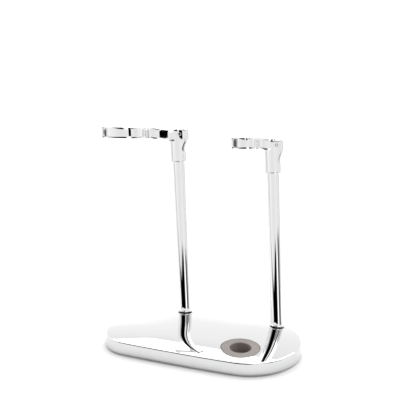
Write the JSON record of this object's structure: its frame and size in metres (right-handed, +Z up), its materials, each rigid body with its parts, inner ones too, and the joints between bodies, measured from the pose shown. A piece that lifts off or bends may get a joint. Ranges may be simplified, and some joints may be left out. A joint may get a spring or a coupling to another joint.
{
  "type": "shaving stand",
  "caption": "Chrome shaving stand: domed base with a rubber cup for a razor, leaning tube posts and swivelling open fork holders for a hanging brush and a razor.",
  "frame": {"origin": "centre of the stand's box, on the floor it stands on", "axes": "+Z up, +X to the right seen from the front, +Y to the back, the way the posts lean"},
  "size_m": [0.1426, 0.1306, 0.1475],
  "materials": {
    "chrome_base": "mirror-polished chrome plate",
    "chrome_post": "mirror-polished chrome plate",
    "chrome_holder": "mirror-polished chrome plate",
    "ballast_steel": "rolled mild steel",
    "insert_steel": "turned steel",
    "screw_steel": "zinc-plated steel",
    "pad_rubber": "fine-textured black rubber",
    "cup_rubber": "smooth matt grey rubber",
    "nylon": "natural nylon"
  },
  "bodies": {
    "stand": {"base_shell": "chrome_base", "ballast_plate": "ballast_steel", "ballast_screw_1": "screw_steel", "ballast_screw_2": "screw_steel", "ballast_screw_3": "screw_steel", "ballast_screw_4": "screw_steel", "anti_slip_pad": "pad_rubber", "razor_cup": "cup_rubber", "brush_post": "chrome_post", "brush_post_plug": "insert_steel", "brush_post_cap": "nylon", "brush_post_washer": "screw_steel", "brush_post_screw": "screw_steel", "brush_foot_ring": "chrome_post", "brush_foot_gasket": "pad_rubber", "razor_post": "chrome_post", "razor_post_plug": "insert_steel", "razor_post_cap": "nylon", "razor_post_washer": "screw_steel", "razor_post_screw": "screw_steel", "razor_foot_ring": "chrome_post", "razor_foot_gasket": "pad_rubber"},
    "brush_swivel": {"brush_holder": "chrome_holder", "brush_holder_set_screw": "insert_steel", "brush_friction_washer": "nylon"},
    "razor_swivel": {"razor_holder": "chrome_holder", "razor_holder_set_screw": "insert_steel", "razor_friction_washer": "nylon"}
  },
  "joints": [
    {"name": "brush_holder_swivel", "type": "hinge", "parent": "stand", "child": "brush_swivel", "pos_m": [-0.01541, 0.0501, 0.11507], "axis": [-0.0436, 0.2837, 0.9579], "range_deg": [-60, 60]},
    {"name": "razor_holder_swivel", "type": "hinge", "parent": "stand", "child": "razor_swivel", "pos_m": [0.05191, 0.02551, 0.1149], "axis": [-0.0297, 0.2839, 0.9584], "range_deg": [-60, 60]}
  ]
}
